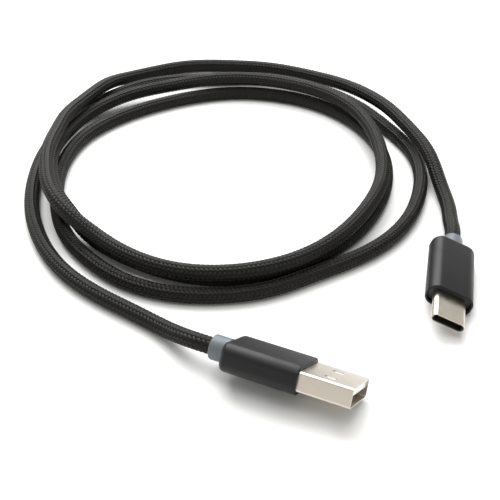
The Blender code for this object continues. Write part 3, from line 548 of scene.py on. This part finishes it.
def shell_a():
    """The folded box with its two windows on each wide side."""
    width, height, radius = A_SHELL
    inner = (width - 2 * A_SHEET, height - 2 * A_SHEET, radius - A_SHEET)
    back = A_TIP - 18.4 * MM
    rings = [(back, width, height, radius)]
    rings += rounded_edge(A_TIP, width, height, radius, 0.08 * MM, 1)[::-1]
    rings += [(A_TIP, *inner), (back, *inner)]
    mesh = sleeve("usb_a_folded_shell", PLUG_A, rings, steps=8)
    piece = add_piece("usb_a_folded_shell", mesh, "cable", "nickel_shell", "usb_a_shell")
    for side in (-1, 1):
        cutter_mesh = sleeve("window_cutter", PLUG_A @ Matrix.Translation((A_TIP - WINDOW_FROM_TIP,
                             side * WINDOW_SPACING / 2, 0.0)) @ Matrix.Rotation(math.radians(90), 4, "Y"),
                             [(-height, WINDOW[1], WINDOW[0], 0.12 * MM),
                              (height, WINDOW[1], WINDOW[0], 0.12 * MM)], hollow=False, steps=3)
        cutter = bpy.data.objects.new("window_cutter", cutter_mesh)
        bpy.context.scene.collection.objects.link(cutter)
        modifier = piece.modifiers.new("window", "BOOLEAN")
        modifier.operation = "DIFFERENCE"
        modifier.object = cutter
        cut_mesh = bpy.data.meshes.new_from_object(
            piece.evaluated_get(bpy.context.evaluated_depsgraph_get()))
        piece.modifiers.clear()
        piece.data = cut_mesh
        bpy.data.objects.remove(cutter, do_unlink=True)
    piece.data.shade_smooth()
    piece.data.set_sharp_from_angle(angle=math.radians(20))
    flats = piece.modifiers.new("flats", "WEIGHTED_NORMAL")
    flats.keep_sharp = True
    piece.data.materials.clear()
    piece.data.materials.append(nickel)
    return piece


shell_piece_a = shell_a()
print("USB-A shell faces:", len(shell_piece_a.data.polygons))

# %% USB-C shell
C_SHELL = (8.25 * MM, 2.4 * MM)
C_SHEET = 0.20 * MM
width, height = C_SHELL
round_c = height / 2
back = C_TIP - 14.5 * MM
rings = [(back, width, height, round_c)]
rings += rounded_edge(C_TIP, width, height, round_c, 0.10 * MM, 1)[::-1]
rings += [(C_TIP, width - 2 * C_SHEET, height - 2 * C_SHEET, round_c - C_SHEET),
          (back, width - 2 * C_SHEET, height - 2 * C_SHEET, round_c - C_SHEET)]
mesh = sleeve("usb_c_drawn_shell", PLUG_C, rings)
add_piece("usb_c_drawn_shell", mesh, "cable", "nickel_shell", "usb_c_shell")
mesh.materials.append(nickel)
print("USB-C shell faces:", len(mesh.polygons))

# %% [markdown]
# ## Inside the plugs
# The resin parts, contacts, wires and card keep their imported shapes, because only their edges can be
# seen. They still need their own finishes, since a render from the front looks straight into a plug.

# %% Finishes inside
def grained(name, colors, grit, strength, **values):
    """A moulded, plated or printed finish: two close colours and a fine bump."""
    made, tree, shader = new_material(name, base_color=linear(colors[0]), **values)
    where = add_node(tree, "ShaderNodeTexCoord")
    noise = add_node(tree, "ShaderNodeTexNoise", {"Vector": where.outputs["Object"],
                                                  "Scale": 1 / grit, "Detail": 3.0})
    ramp = add_node(tree, "ShaderNodeValToRGB", {"Fac": noise.outputs["Fac"]})
    ramp.color_ramp.elements[0].color = linear(colors[0])
    ramp.color_ramp.elements[0].position = 0.35
    ramp.color_ramp.elements[1].color = linear(colors[1])
    ramp.color_ramp.elements[1].position = 0.65
    tree.links.new(ramp.outputs["Color"], shader.inputs["Base Color"])
    bump = add_node(tree, "ShaderNodeBump", {"Height": noise.outputs["Fac"], "Strength": strength,
                                             "Distance": grit / 10})
    tree.links.new(bump.outputs["Normal"], shader.inputs["Normal"])
    return made


FINISHES = {
    "white_resin": grained("polyester_resin_moulded_white", ("#E6EBEE", "#F1F4F5"), 0.4 * MM, 0.1,
                           roughness=0.38, ior=1.55),
    "black_resin": grained("nylon_resin_moulded_black", ("#1B1B1D", "#202022"), 0.4 * MM, 0.04,
                           roughness=0.45, ior=1.53),
    "gold_contact": grained("bronze_stamped_gold_plated", ("#D9B15C", "#E2BD6C"), 0.5 * MM, 0.05,
                            metallic=1.0, roughness=0.25),
    "spring_steel": grained("steel_stamped_bright", ("#9A9A9C", "#ADADAF"), 0.4 * MM, 0.1,
                            metallic=1.0, roughness=0.33),
    "inner_sheath": grained("vinyl_extruded_grey", ("#5E6063", "#696B6E"), 0.5 * MM, 0.15,
                            roughness=0.50, ior=1.52),
    "circuit_board": grained("glass_epoxy_solder_masked_green", ("#0E3A1E", "#124726"), 0.6 * MM, 0.1,
                             roughness=0.35, ior=1.55),
    "ceramic_chip": grained("alumina_fired_dark", ("#1C1C20", "#2A2A30"), 0.2 * MM, 0.2,
                            roughness=0.40, ior=1.7),
    "wire_red": grained("polyethylene_extruded_red", ("#A8201C", "#B52A25"), 0.5 * MM, 0.1,
                        roughness=0.40, ior=1.51),
    "wire_white": grained("polyethylene_extruded_white", ("#DAD9D5", "#E8E7E4"), 0.5 * MM, 0.1,
                          roughness=0.40, ior=1.51),
    "wire_green": grained("polyethylene_extruded_green", ("#1D7A3A", "#238745"), 0.5 * MM, 0.1,
                          roughness=0.40, ior=1.51),
    "wire_black": grained("polyethylene_extruded_black", ("#1A1A1B", "#242425"), 0.5 * MM, 0.1,
                          roughness=0.40, ior=1.51),
}
slot_of = {row["node"]: row["material_slot"] for row in frame["record"]["subparts"]}
dressed = 0
for name, node in frame["nodes"].items():
    finish = FINISHES.get(slot_of[name])
    if finish:
        node.data.materials.clear()
        node.data.materials.append(finish)
        dressed += 1
print("finished inner pieces:", dressed)

# %% [markdown]
# ## Table and light
# The cable lies on a white table. One large soft light behind it draws the long highlights on the
# housings, and a second one hangs overhead. The room's walls are pale and its ceiling is darker, so
# the bare metal looks bright and the black pieces stay black.

# %% Table
TABLE_HALF_WIDTH = 2.5
bm = bmesh.new()
bmesh.ops.create_grid(bm, x_segments=1, y_segments=1, size=TABLE_HALF_WIDTH)
floor_mesh = bpy.data.meshes.new("table_top")
bm.to_mesh(floor_mesh)
bm.free()
table_top = bpy.data.objects.new("table_top", floor_mesh)
bpy.context.scene.collection.objects.link(table_top)
paper, tree, shader = new_material("paper_matt_white", base_color=linear("#ECECEB"), roughness=0.85)
floor_mesh.materials.append(paper)


# %% Lights
def soft_light(name, place, target, size, power):
    """A square area light that faces a point."""
    data = bpy.data.lights.new(name, "AREA")
    data.size = size
    data.energy = power
    lamp = bpy.data.objects.new(name, data)
    lamp.location = place
    lamp.rotation_euler = (Vector(target) - Vector(place)).to_track_quat("-Z", "Y").to_euler()
    bpy.context.scene.collection.objects.link(lamp)
    return lamp


COIL_MIDDLE = (-0.025, 0.05, 0.0)
WINDOW = {"place": (-0.12, 0.66, 0.72), "size": 0.85, "power": 13.0}
OVERHEAD = {"place": (-0.05, 0.05, 0.90), "size": 0.90, "power": 6.0}
soft_light("window_light", target=COIL_MIDDLE, **WINDOW)
soft_light("overhead_light", target=COIL_MIDDLE, **OVERHEAD)
WALL_TOP, CEILING_EDGE = 0.35, 0.75      # sine of the angle above the table
WALL_GLOW, CEILING_GLOW = 0.90, 0.30
world = bpy.data.worlds.new("pale_room")
world.use_nodes = True
tree = world.node_tree
sky = add_node(tree, "ShaderNodeTexCoord")
upward = add_node(tree, "ShaderNodeSeparateXYZ", {0: sky.outputs["Generated"]})
walls = add_node(tree, "ShaderNodeMapRange", {"Value": upward.outputs["Z"], "From Min": WALL_TOP,
                                              "From Max": CEILING_EDGE,
                                              "To Min": WALL_GLOW, "To Max": CEILING_GLOW})
background = tree.nodes["Background"]
background.inputs["Color"].default_value = linear("#F6F5F2")
tree.links.new(walls.outputs["Result"], background.inputs["Strength"])
bpy.context.scene.world = world
bpy.context.scene.view_settings.view_transform = "Standard"
